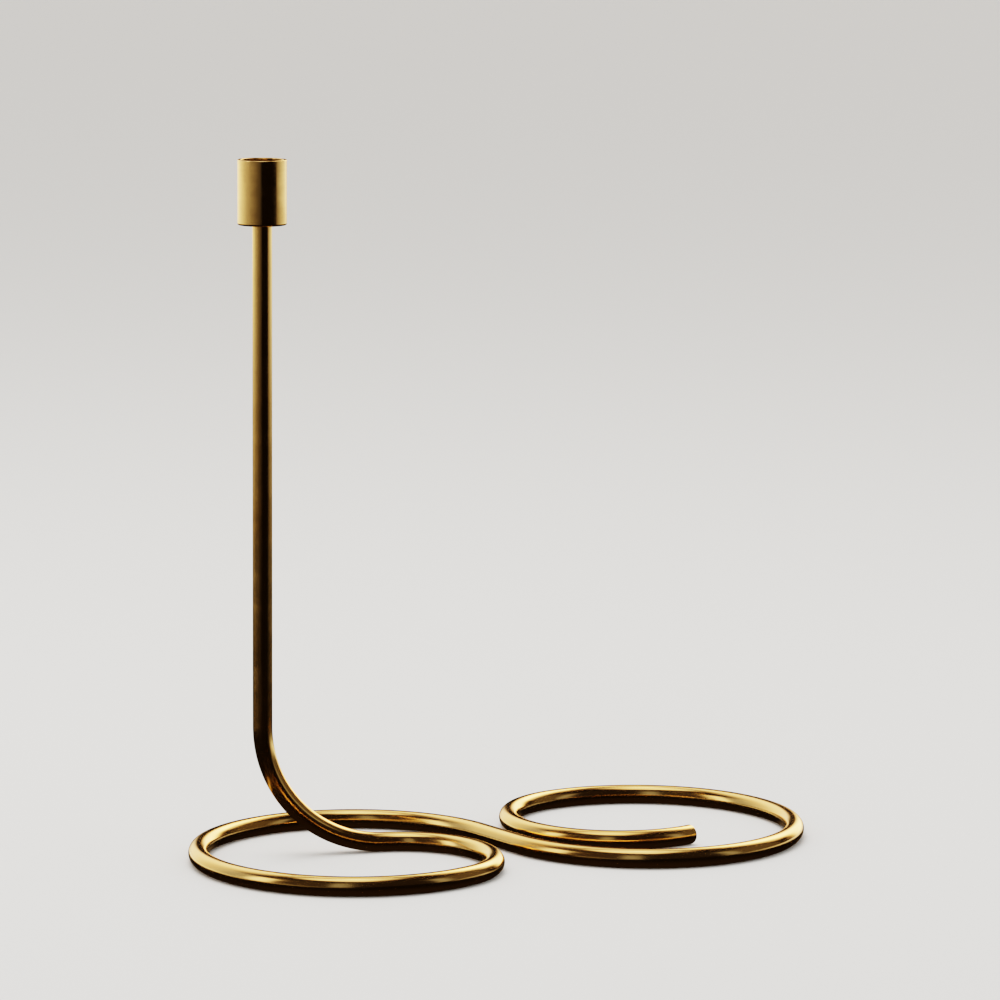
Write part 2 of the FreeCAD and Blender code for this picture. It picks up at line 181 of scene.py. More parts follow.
class Shaping:
    """A mesh in edit mode whose selected ring is drawn out step by step.

    The ring that a step leaves selected is the one that the next step starts from.
    """

    def __init__(
        self, name: str, sides: int, radius: float, centre: Vector, heading: Vector
    ) -> None:
        """Adds an open ring of vertices square to a heading and enters edit mode.

        Args:
            name: The piece's name.
            sides: How many vertices the ring has.
            radius: The ring's radius in metres.
            centre: The ring's centre in metres.
            heading: The direction that the ring faces.
        """
        bpy.ops.object.select_all(action="DESELECT")
        turn = heading.to_track_quat("Z", "Y").to_euler()
        bpy.ops.mesh.primitive_circle_add(
            vertices=sides, radius=radius, fill_type="NOTHING", location=centre, rotation=turn
        )
        self.piece = bpy.context.object
        self.piece.name = name
        self.piece.data.name = name
        bpy.ops.object.transform_apply(location=True, rotation=True, scale=True)
        bpy.ops.object.mode_set(mode="EDIT")
        bpy.ops.mesh.select_mode(type="VERT")
        bpy.ops.mesh.select_all(action="SELECT")

    def draw_straight(self, step: Vector) -> None:
        """Extrudes the selected ring along a straight step."""
        bpy.ops.mesh.extrude_region_move(TRANSFORM_OT_translate={"value": step})

    def draw_bend(self, centre: Vector, axis: Vector, angle: float, steps: int) -> None:
        """Extrudes the selected ring round an axis by the right-hand rule.

        Args:
            centre: A point on the axis.
            axis: The axis's direction.
            angle: How far to turn, in degrees.
            steps: How many rings the turn adds.
        """
        # Spin turns the other way round its axis, so the angle is negative.
        bpy.ops.mesh.spin(
            steps=steps, dupli=False, angle=-math.radians(angle), center=centre, axis=axis
        )

    def resize_ring(self, factor: float, centre: Vector) -> None:
        """Scales the selected ring about a point."""
        bpy.ops.transform.resize(value=(factor, factor, factor), center_override=centre)

    def select_where(self, test: Callable[[Vector], bool]) -> None:
        """Selects the vertices that pass a test, and the edges and faces between them.

        Args:
            test: Takes a vertex's place in metres and says whether to select it.
        """
        bpy.ops.mesh.select_all(action="DESELECT")
        bpy.ops.mesh.select_mode(type="VERT")
        bpy.ops.object.mode_set(mode="OBJECT")
        for vertex in self.piece.data.vertices:
            vertex.select = test(vertex.co)
        bpy.ops.object.mode_set(mode="EDIT")

    def close_ring(self) -> None:
        """Fills the selected ring with one flat face."""
        bpy.ops.mesh.edge_face_add()

    def bevel_selected(self, size: float, segments: int) -> None:
        """Bevels the selected edges."""
        bpy.ops.mesh.bevel(offset=size, offset_type="OFFSET", segments=segments, affect="EDGES")

    def merge_doubles(self) -> None:
        """Selects everything and merges the vertices that lie on one another."""
        bpy.ops.mesh.select_all(action="SELECT")
        bpy.ops.mesh.remove_doubles(threshold=MERGE_DISTANCE)

    def finish(self, smooth_angle: float = 35.0) -> bpy.types.Object:
        """Merges doubles, turns the faces outwards, leaves edit mode and shades smoothly.

        Normals are weighted by area, so that a small round doesn't bend the shading of the
        large face beside it.

        Args:
            smooth_angle: Edges sharper than this many degrees stay crisp.

        Returns:
            The finished object, with its place in its mesh.
        """
        self.merge_doubles()
        bpy.ops.mesh.normals_make_consistent(inside=False)
        bpy.ops.object.mode_set(mode="OBJECT")
        bpy.ops.object.shade_smooth_by_angle(angle=math.radians(smooth_angle))
        weighted = self.piece.modifiers.new("weighted_normals", "WEIGHTED_NORMAL")
        weighted.keep_sharp = True
        bpy.ops.object.modifier_apply(modifier=weighted.name)
        return self.piece


class Turning(Shaping):
    """A piece turned about an upright axis: each step draws the ring to a radius and a height."""

    def __init__(self, name: str, sides: int, foot: Vector, radius: float, height: float) -> None:
        """Starts the outline.

        Args:
            name: The piece's name.
            sides: How many vertices each ring has.
            foot: The point of the axis that heights are measured from, in metres.
            radius: The first ring's radius in millimetres.
            height: The first ring's height above the foot in millimetres.
        """
        self.foot = foot
        self.radius = radius
        self.height = height
        super().__init__(name, sides, radius * MM, foot + UP * height * MM, UP)

    def to(self, radius: float, height: float) -> None:
        """Draws the selected ring out to a new ring.

        Args:
            radius: The new ring's radius in millimetres.
            height: The new ring's height above the foot in millimetres.
        """
        self.draw_straight(UP * (height - self.height) * MM)
        self.resize_ring(radius / self.radius, self.foot + UP * height * MM)
        self.radius = radius
        self.height = height

    def edge(self, radius: float, height: float, size: float, style: EdgeStyle) -> None:
        """Rounds or chamfers the edge that runs round the piece at a radius and a height.

        Args:
            radius: The edge's radius in millimetres.
            height: The edge's height above the foot in millimetres.
            size: How wide the bevel is, in millimetres.
            style: Round or chamfer.
        """
        level = self.foot.z + height * MM

        def on_edge(place: Vector) -> bool:
            """Whether a vertex lies on the wanted ring."""
            across = (place.xy - self.foot.xy).length
            return abs(place.z - level) < NEAR and abs(across - radius * MM) < NEAR

        self.select_where(on_edge)
        self.bevel_selected(size * MM, style.value)


@dataclass(frozen=True)
class Place:
    """A point of the bar's centre line, the way the bar runs there and its distance along it."""

    point: Vector
    heading: Vector
    along: float


@dataclass(frozen=True)
class Straight:
    """A straight stretch of the bar."""

    length: float

    def rings(self, step_angle: float) -> int:
        """How many rings the stretch adds: one, at its end."""
        return 1

    def end(self, start: Place, share: float = 1.0) -> Place:
        """Where the bar is after a share of the stretch."""
        run = self.length * MM * share
        return Place(start.point + start.heading * run, start.heading, start.along + run)

    def draw(self, shaping: Shaping, start: Place, step_angle: float) -> None:
        """Draws the stretch on from the selected ring."""
        shaping.draw_straight(start.heading * self.length * MM)


@dataclass(frozen=True)
class Bend:
    """A bend of constant radius about the side of the bar that an axis gives."""

    radius: float
    angle: float
    rising: bool = False

    def axis(self, start: Place) -> Vector:
        """The axis that the bend turns about by the right-hand rule."""
        return start.heading.cross(UP) if self.rising else UP

    def centre(self, start: Place) -> Vector:
        """The bend's centre."""
        return start.point + self.axis(start).cross(start.heading) * self.radius * MM

    def rings(self, step_angle: float) -> int:
        """How many rings the bend adds."""
        return math.ceil(self.angle / step_angle)

    def end(self, start: Place, share: float = 1.0) -> Place:
        """Works out where the bar is after a share of the bend.

        Args:
            start: Where the bend starts.
            share: How much of it is done, from 0 to 1.

        Returns:
            The place.
        """
        angle = math.radians(self.angle * share)
        turn = Matrix.Rotation(angle, 3, self.axis(start))
        centre = self.centre(start)
        point = centre + turn @ (start.point - centre)
        return Place(point, turn @ start.heading, start.along + angle * self.radius * MM)

    def draw(self, shaping: Shaping, start: Place, step_angle: float) -> None:
        """Draws the bend on from the selected ring."""
        shaping.draw_bend(self.centre(start), self.axis(start), self.angle, self.rings(step_angle))


Stretch = Union[Straight, Bend]


@dataclass
class BentRod:
    """The round bar: flat S of two loops, quarter bend and upright stem, in one piece."""

    bar_diameter: float = 10.0
    stem_height: float = 325.0
    bend_radius: float = 63.0
    loop_radius: float = 80.0
    bridge_length: float = 33.0
    left_inset: float = 33.0
    right_inset: float = 24.0
    left_outer_angle: float = 282.4
    left_inner_angle: float = 145.0
    right_outer_angle: float = 269.5
    right_inner_angle: float = 188.0
    tip_round: float = 0.5
    top_chamfer: float = 0.5
    tapped_radius: float = 2.26
    tapped_depth: float = 10.3
    thread_mouth_chamfer: float = 0.4
    drill_point_angle: float = 118.0
    sides: int = 64
    step_angle: float = 2.0
    # How long a stretch's level side is at least, from 0 where it is upright to 1.
    least_side: float = 0.5
    piece: bpy.types.Object = field(init=False)

    @property
    def bar_radius(self) -> float:
        """Half the bar's thickness."""
        return self.bar_diameter / 2

    def middle(self) -> Place:
        """The middle of the bridge, facing the loop with the free end."""
        heading = Vector((self.bridge_length, -2 * self.loop_radius, 0)).normalized()
        return Place(Vector((0, 0, self.bar_radius * MM)), heading, 0.0)

    def middle_facing_back(self) -> Place:
        """The middle of the bridge, facing the loop that the stem stands in."""
        return Place(self.middle().point, -self.middle().heading, 0.0)

    def free_side(self) -> list[Stretch]:
        """Lists the stretches of the side with the free end.

        Returns:
            The stretches from the middle to the free end.
        """
        return [
            Straight(self.bridge_length / 2),
            Bend(self.loop_radius, self.right_outer_angle),
            Bend(self.loop_radius - self.right_inset, self.right_inner_angle),
        ]

    def stem_side(self) -> list[Stretch]:
        """Lists the stretches of the side with the stem.

        Returns:
            The stretches from the middle to the stem's top end, below its chamfer.
        """
        foot = self.bend_radius + self.bar_radius
        return [
            Straight(self.bridge_length / 2),
            Bend(self.loop_radius, self.left_outer_angle),
            Bend(self.loop_radius - self.left_inset, self.left_inner_angle),
            Bend(self.bend_radius, 90.0, rising=True),
            Straight(self.stem_height - foot - self.top_chamfer),
        ]

    def walk(self, stretches: Sequence[Stretch], start: Place) -> Iterator[Place]:
        """Gives the place of each ring along some stretches.

        Args:
            stretches: The stretches in order.
            start: Where the first one starts.

        Yields:
            The start and then each ring's place.
        """
        yield start
        for stretch in stretches:
            rings = stretch.rings(self.step_angle)
            for number in range(1, rings + 1):
                yield stretch.end(start, number / rings)
            start = stretch.end(start)

    def draw(self, shaping: Shaping, stretches: Sequence[Stretch], start: Place) -> Place:
        """Draws stretches on from the selected ring.

        Args:
            shaping: The mesh, with the ring at the start selected.
            stretches: The stretches in order.
            start: Where the first one starts.

        Returns:
            Where the last stretch ends.
        """
        for stretch in stretches:
            stretch.draw(shaping, start, self.step_angle)
            start = stretch.end(start)
        return start

    def cut_top(self, shaping: Shaping, top: Place) -> None:
        """Shapes the stem's top end: chamfer, flat, thread lead-in, tapped hole, drill point.

        Args:
            shaping: The mesh, with the stem's last ring selected.
            top: Where that ring is.
        """
        mouth_radius = self.tapped_radius + self.thread_mouth_chamfer
        drill_depth = self.tapped_radius / math.tan(math.radians(self.drill_point_angle / 2))
        outline = (
            (self.bar_radius - self.top_chamfer, self.top_chamfer),
            (mouth_radius, self.top_chamfer),
            (self.tapped_radius, self.top_chamfer - self.thread_mouth_chamfer),
            (self.tapped_radius, self.top_chamfer - self.tapped_depth),
        )
        radius = self.bar_radius
        height = 0.0
        for new_radius, new_height in outline:
            shaping.draw_straight(UP * (new_height - height) * MM)
            shaping.resize_ring(new_radius / radius, top.point + UP * new_height * MM)
            radius = new_radius
            height = new_height
        shaping.draw_straight(-UP * drill_depth * MM)
        bpy.ops.mesh.merge(type="CENTER")

    def map_surface(self) -> None:
        """Gives the bar a UV map in metres: u runs along the bar and v goes round it."""
        places = list(self.walk(self.free_side(), self.middle()))
        stem_places = self.walk(self.stem_side(), self.middle_facing_back())
        places += [Place(p.point, -p.heading, -p.along) for p in stem_places]
        tree = KDTree(len(places))
        for number, place in enumerate(places):
            tree.insert(place.point, number)
        tree.balance()
        mesh = self.piece.data
        girth = 2 * math.pi * self.bar_radius * MM
        half_turn = 0.5
        spots = []
        for vertex in mesh.vertices:
            place = places[tree.find(vertex.co)[1]]
            out = vertex.co - place.point
            side = place.heading.cross(UP)
            # A steep stretch has no clear level side, so it takes the foot bend's.
            if side.length < self.least_side:
                side = self.stem_side_axis()
            side.normalize()
            other = side.cross(place.heading)
            turn = math.atan2(out.dot(other), out.dot(side)) / (2 * math.pi) % 1.0
            spots.append((place.along + out.dot(place.heading), turn))
        layer = mesh.uv_layers.new(name=BAR_MAP)
        for face in mesh.polygons:
            turns = [spots[mesh.loops[i].vertex_index][1] for i in face.loop_indices]
            wraps = max(turns) - min(turns) > half_turn
            for index, turn in zip(face.loop_indices, turns):
                around = turn + 1.0 if wraps and turn < half_turn else turn
                layer.data[index].uv = (spots[mesh.loops[index].vertex_index][0], around * girth)

    def stem_side_axis(self) -> Vector:
        """Works out the level direction that the foot bend turns about.

        Returns:
            The direction.
        """
        place = self.middle_facing_back()
        for stretch in self.stem_side():
            if isinstance(stretch, Bend) and stretch.rising:
                return stretch.axis(place)
            place = stretch.end(place)
        raise ValueError("the stem's side has no rising bend")

    def build(self) -> None:
        """Models the bar from the middle of the S outwards to both ends."""
        start = self.middle()
        shaping = Shaping("bent_bar", self.sides, self.bar_radius * MM, start.point, start.heading)
        self.draw(shaping, self.free_side(), start)
        shaping.close_ring()
        shaping.bevel_selected(self.tip_round * MM, EdgeStyle.ROUND.value)

        reach = self.bar_radius * MM + NEAR
        shaping.select_where(lambda place: (place - start.point).length < reach)
        top = self.draw(shaping, self.stem_side(), self.middle_facing_back())
        self.cut_top(shaping, top)
        self.piece = shaping.finish()
        self.map_surface()
        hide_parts("bent_rod")
        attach(self.piece, "root")

    def dress(self) -> Sequence[bpy.types.Object]:
        """Dresses the bar in drawn brass and gives it back."""
        return dress([self.piece], DrawnBrass(bar_radius=self.bar_radius))


@dataclass
class CandleCup:
    """The turned cup with the candle's bore and the recess that sinks the screw's head."""

    cup_radius: float = 12.5
    cup_height: float = 33.0
    bore_radius: float = 10.75
    bore_floor: float = 8.0
    recess_radius: float = 5.4
    recess_floor: float = 2.5
    screw_hole_radius: float = 2.75
    base_round: float = 1.0
    rim_round: float = 0.4
    corner_round: float = 0.8
    recess_chamfer: float = 0.3
    sides: int = 128
    foot: Vector = field(init=False)
    piece: bpy.types.Object = field(init=False)

    def __post_init__(self) -> None:
        """Finds the middle of the cup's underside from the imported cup."""
        low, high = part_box("candle_cup")
        self.foot = Vector(((low.x + high.x) / 2, (low.y + high.y) / 2, low.z))

    def build(self) -> None:
        """Models the cup as a turning on the stem's top end."""
        turning = Turning("turned_cup", self.sides, self.foot, self.screw_hole_radius, 0.0)
        turning.to(self.cup_radius, 0.0)
        turning.to(self.cup_radius, self.cup_height)
        turning.to(self.bore_radius, self.cup_height)
        turning.to(self.bore_radius, self.bore_floor)
        turning.to(self.recess_radius, self.bore_floor)
        turning.to(self.recess_radius, self.recess_floor)
        turning.to(self.screw_hole_radius, self.recess_floor)
        turning.to(self.screw_hole_radius, 0.0)
        turning.merge_doubles()
        turning.edge(self.cup_radius, 0.0, self.base_round, EdgeStyle.ROUND)
        turning.edge(self.cup_radius, self.cup_height, self.rim_round, EdgeStyle.ROUND)
        turning.edge(self.bore_radius, self.cup_height, self.rim_round, EdgeStyle.ROUND)
        turning.edge(self.bore_radius, self.bore_floor, self.corner_round, EdgeStyle.ROUND)
        turning.edge(self.recess_radius, self.bore_floor, self.recess_chamfer, EdgeStyle.CHAMFER)
        self.piece = turning.finish()
        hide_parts("candle_cup")
        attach(self.piece, "root")

    def dress(self) -> Sequence[bpy.types.Object]:
        """Dresses the cup in turned brass.

        Returns:
            The dressed piece.
        """
        finish = TurnedBrass(
            axis=self.foot.xy[:],
            foot=self.foot.z,
            bore_radius=self.bore_radius,
            cup_height=self.cup_height,
        )
        return dress([self.piece], finish)


@dataclass
class Fixings:
    """The screw and the two washers that hold the cup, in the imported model's own shapes."""

    nodes: tuple[str, ...] = ("cup_screw", "spring_washer", "flat_washer")
    pieces: list[bpy.types.Object] = field(init=False)

    def build(self) -> None:
        """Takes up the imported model's screw and washers, whose shapes are right."""
        self.pieces = [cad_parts[name] for name in self.nodes]

    def dress(self) -> Sequence[bpy.types.Object]:
        """Dresses the screw and the washers in zinc plate and gives them back."""
        return dress(self.pieces, ZincPlate())


@dataclass(frozen=True)
class Pattern:
    """An uneven pattern: the size of its features in millimetres, and its finer detail."""

    size: float
    detail: float
    falloff: float = 0.5

    def inputs(self, place: Socket) -> dict[str, Any]:
        """Gives a Noise node's inputs for the pattern on coordinates in metres."""
        scale = 1 / (self.size * MM)
        return {"Vector": place, "Scale": scale, "Detail": self.detail, "Roughness": self.falloff}


@dataclass(frozen=True, kw_only=True)
class Finish:
    """What every finish here has: a name, and metal for its surface."""

    name: str

    def build(self) -> bpy.types.Material:
        """Makes the material.

        Returns:
            The material.
        """
        material = empty_material(self.name)
        self.paint(material.node_tree)
        return material

    def paint(self, tree: Tree) -> None:
        """Adds the finish's own nodes to an empty tree."""
        raise NotImplementedError

    def add_metal(self, tree: Tree, colour: Socket, roughness: Socket, relief: Socket) -> None:
        """Ends the tree in a metal surface.

        Args:
            tree: The material's node tree.
            colour: The metal's colour.
            roughness: Its roughness.
            relief: Its normal.
        """
        inputs = {"Base Color": colour, "Metallic": 1.0, "Roughness": roughness, "Normal": relief}
        shader = add_node(tree, "ShaderNodeBsdfPrincipled", inputs=inputs)
        add_node(tree, "ShaderNodeOutputMaterial", inputs={"Surface": shader.outputs["BSDF"]})


@dataclass(frozen=True, kw_only=True)
class Brass(Finish):
    """Polished brass, as far as the bar and the cup have it in common.

    Handling leaves faint smudges, and the metal has warmed a little in colour where it was
    touched most. Fine scratches vary the shine, and each piece has them in its own direction.
    The two limits of a pattern are the values of its noise between which it fades in.
    """

    colour: str = "f2d293"
    tarnish: str = "dfae62"
    tarnish_share: float
    patches: Pattern
    patch_limits: tuple[float, float] = (0.45, 0.75)
    roughness: float
    smudges: Pattern
    smudge_limits: tuple[float, float] = (0.4, 0.7)
    smudge_roughness: float = 0.05
    scratch_limits: tuple[float, float] = (0.35, 0.65)
    scratch_roughness: float = 0.05

    def warmed_colour(self, tree: Tree, place: Socket) -> Socket:
        """Lays warmer patches over the clean brass.

        Args:
            tree: The material's node tree.
            place: The coordinates in metres.

        Returns:
            The colour.
        """
        patches = add_node(tree, "ShaderNodeTexNoise", inputs=self.patches.inputs(place))
        clean, full = self.patch_limits
        warmed = add_node(
            tree,
            "ShaderNodeMapRange",
            {"interpolation_type": "SMOOTHSTEP"},
            {
                "Value": patches.outputs["Fac"],
                "From Min": clean,
                "From Max": full,
                "To Max": self.tarnish_share,
            },
        ).outputs["Result"]
        return add_node(
            tree,
            "ShaderNodeMix",
            {"data_type": "RGBA"},
            {"Factor": warmed, MIX_FIRST: linear(self.colour), MIX_SECOND: linear(self.tarnish)},
        ).outputs[MIX_RESULT]

    def handled_roughness(self, tree: Tree, place: Socket, scratches: Socket) -> Socket:
        """Works out the roughness that polish, smudges and fine scratches leave.

        Args:
            tree: The material's node tree.
            place: The coordinates in metres.
            scratches: The scratches' noise.

        Returns:
            The roughness.
        """
        smudges = add_node(tree, "ShaderNodeTexNoise", inputs=self.smudges.inputs(place))
        clean, full = self.smudge_limits
        smudged = add_node(
            tree,
            "ShaderNodeMapRange",
            {"interpolation_type": "SMOOTHSTEP"},
            {
                "Value": smudges.outputs["Fac"],
                "From Min": clean,
                "From Max": full,
                "To Min": self.roughness,
                "To Max": self.roughness + self.smudge_roughness,
            },
        )
        smooth, rough = self.scratch_limits
        scratched = add_node(
            tree,
            "ShaderNodeMapRange",
            inputs={
                "Value": scratches,
                "From Min": smooth,
                "From Max": rough,
                "To Min": -self.scratch_roughness / 2,
                "To Max": self.scratch_roughness / 2,
            },
        )
        return add_node(
            tree,
            "ShaderNodeMath",
            {"operation": "ADD"},
            {0: smudged.outputs["Result"], 1: scratched.outputs["Result"]},
        ).outputs[0]


@dataclass(frozen=True, kw_only=True)
class DrawnBrass(Brass):
    """Round brass bar, drawn through a die, bent cold and buffed.

    Drawing leaves hairlines along the bar and buffing leaves it nearly a mirror, so lights
    show as long clean streaks with slightly soft edges. Bending leaves it faintly wavy, and
    the sawn tip is duller.
    """

    name: str = "drawn_brass_buffed"
    tarnish_share: float = 0.4
    patches: Pattern = Pattern(45.0, 3.0)
    roughness: float = 0.15
    smudges: Pattern = Pattern(14.0, 4.0)
    # Real hairlines are some 0.1 mm apart. They are drawn wider here so that a few show.
    hairlines: Pattern = Pattern(0.9, 3.0, 0.6)
    hairline_length: float = 60.0
    hairline_depth: float = 0.001
    waves: Pattern = Pattern(38.0, 1.0)
    wave_depth: float = 0.012
    # How far along the bar from the middle of the S the sawn tip begins.
    sawn_from: float = 576.4
    sawn_blend: float = 0.1
    sawn_roughness: float = 0.16
    bar_radius: float

    def rolled_out(self, tree: Tree) -> Socket:
        """Lays the bar out straight: its length along X and its round section across, in metres.

        Args:
            tree: The material's node tree.

        Returns:
            The coordinates, which have no seam.
        """
        uv = add_node(tree, "ShaderNodeUVMap", {"uv_map": BAR_MAP})
        parts = add_node(tree, "ShaderNodeSeparateXYZ", inputs={0: uv.outputs["UV"]})
        radius = self.bar_radius * MM
        turn = add_node(
            tree, "ShaderNodeMath", {"operation": "DIVIDE"}, {0: parts.outputs["Y"], 1: radius}
        )
        cosine, sine = (
            add_node(tree, "ShaderNodeMath", {"operation": name}, {0: turn.outputs[0]}).outputs[0]
            for name in ("COSINE", "SINE")
        )
        section = add_node(
            tree, "ShaderNodeCombineXYZ", inputs={"X": parts.outputs["X"], "Y": cosine, "Z": sine}
        )
        return add_node(
            tree,
            "ShaderNodeVectorMath",
            {"operation": "MULTIPLY"},
            {0: section.outputs[0], 1: (1.0, radius, radius)},
        ).outputs[0]

    def paint(self, tree: Tree) -> None:
        """Adds the brass, its hairlines, its waves and the dull tip.

        Args:
            tree: The material's node tree.
        """
        place = add_node(tree, "ShaderNodeTexCoord").outputs["Object"]
        rolled = self.rolled_out(tree)
        squeeze = self.hairlines.size / self.hairline_length
        along = add_node(
            tree, "ShaderNodeMapping", inputs={"Vector": rolled, "Scale": (squeeze, 1.0, 1.0)}
        )
        hairlines = add_node(
            tree, "ShaderNodeTexNoise", inputs=self.hairlines.inputs(along.outputs[0])
        ).outputs["Fac"]
        length = add_node(tree, "ShaderNodeSeparateXYZ", inputs={0: rolled}).outputs["X"]
        sawn = add_node(
            tree,
            "ShaderNodeMapRange",
            inputs={
                "Value": length,
                "From Min": (self.sawn_from - self.sawn_blend) * MM,
                "From Max": self.sawn_from * MM,
                "To Max": self.sawn_roughness,
            },
        )
        roughness = add_node(
            tree,
            "ShaderNodeMath",
            {"operation": "ADD"},
            {0: self.handled_roughness(tree, place, hairlines), 1: sawn.outputs["Result"]},
        )
        lines = add_node(
            tree,
            "ShaderNodeBump",
            inputs={"Distance": self.hairline_depth * MM, "Height": hairlines},
        )
        waves = add_node(tree, "ShaderNodeTexNoise", inputs=self.waves.inputs(place))
        relief = add_node(
            tree,
            "ShaderNodeBump",
            inputs={
                "Distance": self.wave_depth * MM,
                "Height": waves.outputs["Fac"],
                "Normal": lines.outputs["Normal"],
            },
        )
        colour = self.warmed_colour(tree, place)
        self.add_metal(tree, colour, roughness.outputs[0], relief.outputs["Normal"])


@dataclass(frozen=True, kw_only=True)
class TurnedBrass(Brass):
    """Brass turned in a lathe and polished along the turning marks.

    The marks run round the cup, so a light stretches a little up and down. The bore is rougher
    and painted dark brown as painted shade, and the upper and lower edges are painted lighter
    as a painted highlight.
    """

    axis: tuple[float, float]
    foot: float
    bore_radius: float
    cup_height: float
    name: str = "turned_brass_polished"
    tarnish_share: float = 0.3
    patches: Pattern = Pattern(30.0, 3.0)
    roughness: float = 0.13
    smudges: Pattern = Pattern(9.0, 4.0)
    # Painted shade in the bore: its dark brown and its share. The bore is also this much rougher.
    bore_shade_colour: str = "5f4222"
    bore_shade_share: float = 0.85
    bore_roughness: float = 0.16
    # How far below the rim the bore's painted shade starts and where it is full.
    bore_shade_start: float = 0.4
    bore_shade_full: float = 1.6
    # How far from the bore's wall, out into the cup's, the painted shade is full and where it
    # ends.
    skin_full: float = 0.1
    skin_end: float = 0.4
    # Painted highlight: a lighter brass painted in bands at the cup's upper and lower edges.
    edge_highlight_colour: str = "f7dfae"
    edge_highlight_share: float = 0.7
    edge_highlight_band: float = 0.8
    # Real turning marks are some 0.05 mm apart. They are drawn wider here so that they show.
    marks: Pattern = Pattern(0.6, 3.0, 0.65)
    mark_depth: float = 0.002

    def paint(self, tree: Tree) -> None:
        """Adds the brass, its turning marks, the bore's painted shade and the edges' painted
        highlight.

        Args:
            tree: The material's node tree.
        """
        place = add_node(
            tree,
            "ShaderNodeMapping",
            inputs={
                "Vector": add_node(tree, "ShaderNodeTexCoord").outputs["Object"],
                "Location": (-self.axis[0], -self.axis[1], -self.foot),
            },
        ).outputs[0]
        height = add_node(tree, "ShaderNodeSeparateXYZ", inputs={0: place}).outputs["Z"]
        level = add_node(
            tree, "ShaderNodeVectorMath", {"operation": "MULTIPLY"}, {0: place, 1: (1.0, 1.0, 0.0)}
        )
        radius = add_node(
            tree, "ShaderNodeVectorMath", {"operation": "LENGTH"}, {0: level.outputs[0]}
        ).outputs["Value"]
        section = add_node(tree, "ShaderNodeCombineXYZ", inputs={"X": radius, "Y": height})
        marks = add_node(
            tree, "ShaderNodeTexNoise", inputs=self.marks.inputs(section.outputs[0])
        ).outputs["Fac"]
        in_bore = self.in_bore(tree, radius, height)
        # Painted shade: the bore is painted dark brown. Painted highlight: the upper and lower
        # edges are painted lighter.
        shade_in_bore = add_node(
            tree, "ShaderNodeMath", {"operation": "MULTIPLY"}, {0: in_bore, 1: self.bore_shade_share}
        ).outputs[0]
        colour = self.warmed_colour(tree, place)
        for share, over in ((shade_in_bore, self.bore_shade_colour), (self.painted_edge_highlight(tree, height), self.edge_highlight_colour)):
            colour = add_node(
                tree,
                "ShaderNodeMix",
                {"data_type": "RGBA"},
                {"Factor": share, MIX_FIRST: colour, MIX_SECOND: linear(over)},
            ).outputs[MIX_RESULT]
        handled = self.handled_roughness(tree, place, marks)
        roughness = add_node(
            tree,
            "ShaderNodeMath",
            {"operation": "MULTIPLY_ADD"},
            {0: in_bore, 1: self.bore_roughness, 2: handled},
        )
        relief = add_node(
            tree, "ShaderNodeBump", inputs={"Distance": self.mark_depth * MM, "Height": marks}
        )
        self.add_metal(tree, colour, roughness.outputs[0], relief.outputs["Normal"])

    def in_bore(self, tree: Tree, radius: Socket, height: Socket) -> Socket:
        """Works out the bore's painted shade: 1 on its wall and floor, 0 outside and at the rim.

        Args:
            tree: The material's node tree.
            radius: The distance from the cup's axis in metres.
            height: The height above the cup's foot in metres.

        Returns:
            The painted shade's share, from 0 to 1.
        """
        near_axis = add_node(
            tree,
            "ShaderNodeMapRange",
            {"interpolation_type": "SMOOTHSTEP"},
            {
                "Value": radius,
                "From Min": (self.bore_radius + self.skin_end) * MM,
                "From Max": (self.bore_radius + self.skin_full) * MM,
            },
        )
        below_rim = add_node(
            tree,
            "ShaderNodeMapRange",
            {"interpolation_type": "SMOOTHSTEP"},
            {
                "Value": height,
                "From Min": (self.cup_height - self.bore_shade_start) * MM,
                "From Max": (self.cup_height - self.bore_shade_full) * MM,
            },
        )
        return add_node(
            tree,
            "ShaderNodeMath",
            {"operation": "MULTIPLY"},
            {0: near_axis.outputs["Result"], 1: below_rim.outputs["Result"]},
        ).outputs[0]

    def painted_edge_highlight(self, tree: Tree, height: Socket) -> Socket:
        """Works out the painted highlight at the cup's upper and lower edges.

        Args:
            tree: The material's node tree.
            height: The height above the cup's foot in metres.

        Returns:
            The share of the lighter painted highlight colour, from 0 to 1.
        """
        half = self.cup_height / 2
        from_middle = add_node(
            tree, "ShaderNodeMath", {"operation": "SUBTRACT"}, {0: height, 1: half * MM}
        )
        above_or_below = add_node(
            tree, "ShaderNodeMath", {"operation": "ABSOLUTE"}, {0: from_middle.outputs[0]}
        )
        return add_node(
            tree,
            "ShaderNodeMapRange",
            {"interpolation_type": "SMOOTHSTEP"},
            {
                "Value": above_or_below.outputs[0],
                "From Min": (half - self.edge_highlight_band) * MM,
                "From Max": half * MM,
                "To Max": self.edge_highlight_share,
            },
        ).outputs["Result"]


